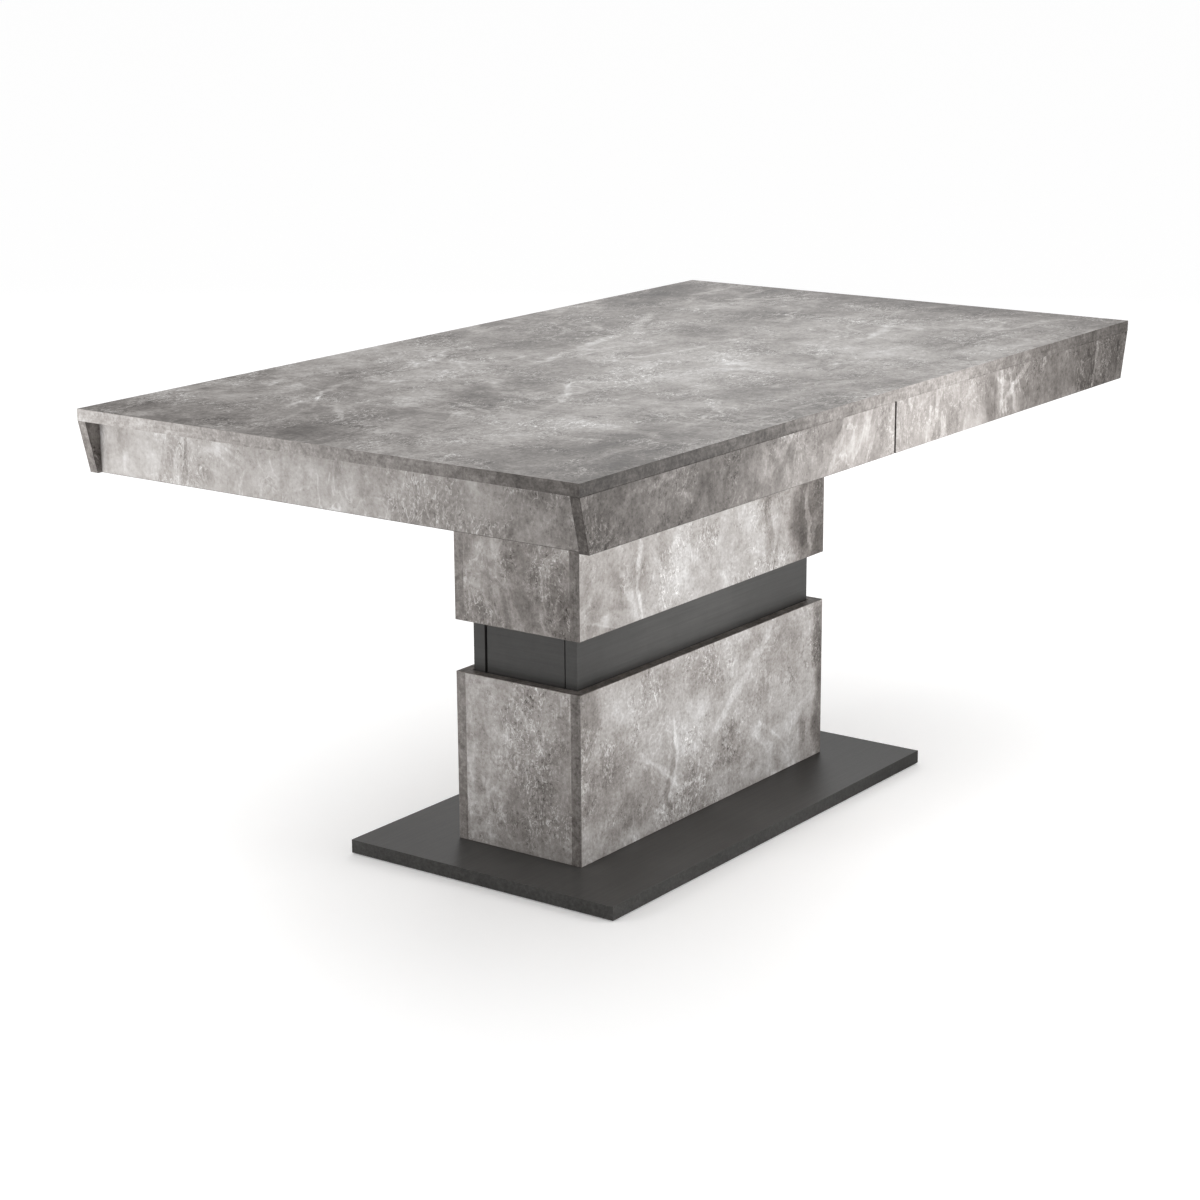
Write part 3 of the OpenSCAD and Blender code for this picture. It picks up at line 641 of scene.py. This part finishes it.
# The plate's rounded arris wears the lighter foil, a painted highlight.
wear_by_direction(eased("base_plate", PLATE_RADIUS, arris_highlight=anthracite_arris_highlight),
                  [(faces_sideways, anthracite_edge)])
for board in ("neck_long_panels", "neck_end_panels", "lower_lid", "upper_floor"):
    eased(board, BOARD_RADIUS)
for stick in ("cross_beams", "rail_beams", "runner_battens_left", "runner_battens_right",
              "rack_hanger_left", "rack_hanger_right"):
    eased(stick, STICK_RADIUS)

for node, thing in nodes.items():
    dress(thing, finish_of(node))


# ---- stage, light and camera ----------------------------------------------------------

FLOOR_SIZE = 300.0
FLOOR_WHITE = (0.96, 0.96, 0.96, 1)
FLOOR_GLOW = 0.14  # lifts the floor to white
WHITE = (1, 1, 1, 1)


def floor():
    """A white floor, clear when it is seen from below."""
    mesh = bpy.data.meshes.new("floor")
    half = FLOOR_SIZE / 2
    corners = [(-half, -half, 0), (half, -half, 0), (half, half, 0), (-half, half, 0)]
    mesh.from_pydata(corners, [], [(0, 1, 2, 3)])
    thing = bpy.data.objects.new("floor", mesh)
    bpy.context.scene.collection.objects.link(thing)
    s = Shader("pale_floor", 0.9, specular=0.1)
    s.surface.inputs["Emission Color"].default_value = WHITE
    s.surface.inputs["Emission Strength"].default_value = FLOOR_GLOW
    s.finish(FLOOR_WHITE)
    clear, below = s.node("BsdfTransparent"), s.node("NewGeometry").outputs["Backfacing"]
    seen = s.node("MixShader", {0: below, 1: s.surface.outputs[0], 2: clear.outputs[0]})
    s.put(seen.outputs[0], s.tree.nodes["Material Output"].inputs["Surface"])
    dress(thing, s.material)


def softbox(name, place, target, size, power):
    """A square lamp, hidden from the camera, that shines from place to target."""
    lamp = bpy.data.lights.new(name, "AREA")
    lamp.shape, lamp.size, lamp.energy = "SQUARE", size, power
    thing = bpy.data.objects.new(name, lamp)
    thing.location = place
    thing.rotation_euler = (Vector(target) - Vector(place)).to_track_quat("-Z", "Y").to_euler()
    thing.visible_camera = False
    bpy.context.scene.collection.objects.link(thing)


HORIZON, ZENITH = 0.38, 1.29  # the dome's light at its rim, and what is added right overhead
DOME_FALL = 3.0  # how fast that is lost towards the rim
LAMPS = [  # name, place, target, size, power
    ("overhead", (3.5, 2.0, 3.0), (0.3, 0.2, 0.7), 2.0, 42),  # the top, from the far right
    ("front_low", (0.1, -2.2, 0.35), (0.1, 0, 0.4), 0.9, 13),  # the pedestal's front
    ("front_near", (0.08, -0.95, 0.7), (0.08, 0, 0.69), 0.3, 2.55),  # the middle of the front apron
    ("side", (-1.75, 0.75, 0.66), (0, 0.6, 0.66), 0.5, 8),  # the left end
]


def studio():
    """A dome that is brighter overhead and plain white to the camera, and soft lamps."""
    scene = bpy.context.scene
    world = bpy.data.worlds.new("studio")
    world.use_nodes = True
    tree = world.node_tree
    background = tree.nodes["Background"]
    background.inputs["Color"].default_value = WHITE

    def maths(operation, a, b):
        made = tree.nodes.new("ShaderNodeMath")
        made.operation = operation
        for socket, value in zip(made.inputs, (a, b)):
            if isinstance(value, bpy.types.NodeSocket):
                tree.links.new(value, socket)
            else:
                socket.default_value = value
        return made.outputs[0]

    direction = tree.nodes.new("ShaderNodeSeparateXYZ")
    sky = tree.nodes.new("ShaderNodeTexCoord").outputs["Generated"]
    tree.links.new(sky, direction.inputs[0])
    overhead = maths("POWER", maths("MAXIMUM", direction.outputs[2], 0.0), DOME_FALL)
    glow = maths("ADD", maths("MULTIPLY", overhead, ZENITH), HORIZON)
    seen = tree.nodes.new("ShaderNodeLightPath").outputs["Is Camera Ray"]
    tree.links.new(maths("MAXIMUM", glow, seen), background.inputs["Strength"])
    scene.world = world
    scene.view_settings.view_transform = "Standard"
    for lamp in LAMPS:
        softbox(*lamp)


CAMERA_PLACE = Vector((-3.466, -2.429, 1.475))
CAMERA_YAW, CAMERA_PITCH, CAMERA_ROLL = (math.radians(a) for a in (36.08, 14.81, 0.376))
CAMERA_LENS = 80.5
SENSOR = 36.0
NEAR, FAR = 0.05, 200


def camera():
    """The photograph's camera. Its yaw is from +X towards +Y, and its pitch is downwards."""
    data = bpy.data.cameras.new("camera")
    data.lens, data.sensor_width = CAMERA_LENS, SENSOR
    data.clip_start, data.clip_end = NEAR, FAR
    flat, down = math.cos(CAMERA_PITCH), math.sin(CAMERA_PITCH)
    ahead = Vector((math.cos(CAMERA_YAW) * flat, math.sin(CAMERA_YAW) * flat, -down))
    right = ahead.cross(Vector((0, 0, 1))).normalized()
    up = right.cross(ahead)
    tilt = Matrix.Rotation(CAMERA_ROLL, 3, ahead)
    axes = Matrix((right, up, -ahead)).transposed()
    thing = bpy.data.objects.new("camera", data)
    thing.matrix_world = Matrix.Translation(CAMERA_PLACE) @ (tilt @ axes).to_4x4()
    bpy.context.scene.collection.objects.link(thing)
    bpy.context.scene.camera = thing


floor()
studio()
camera()
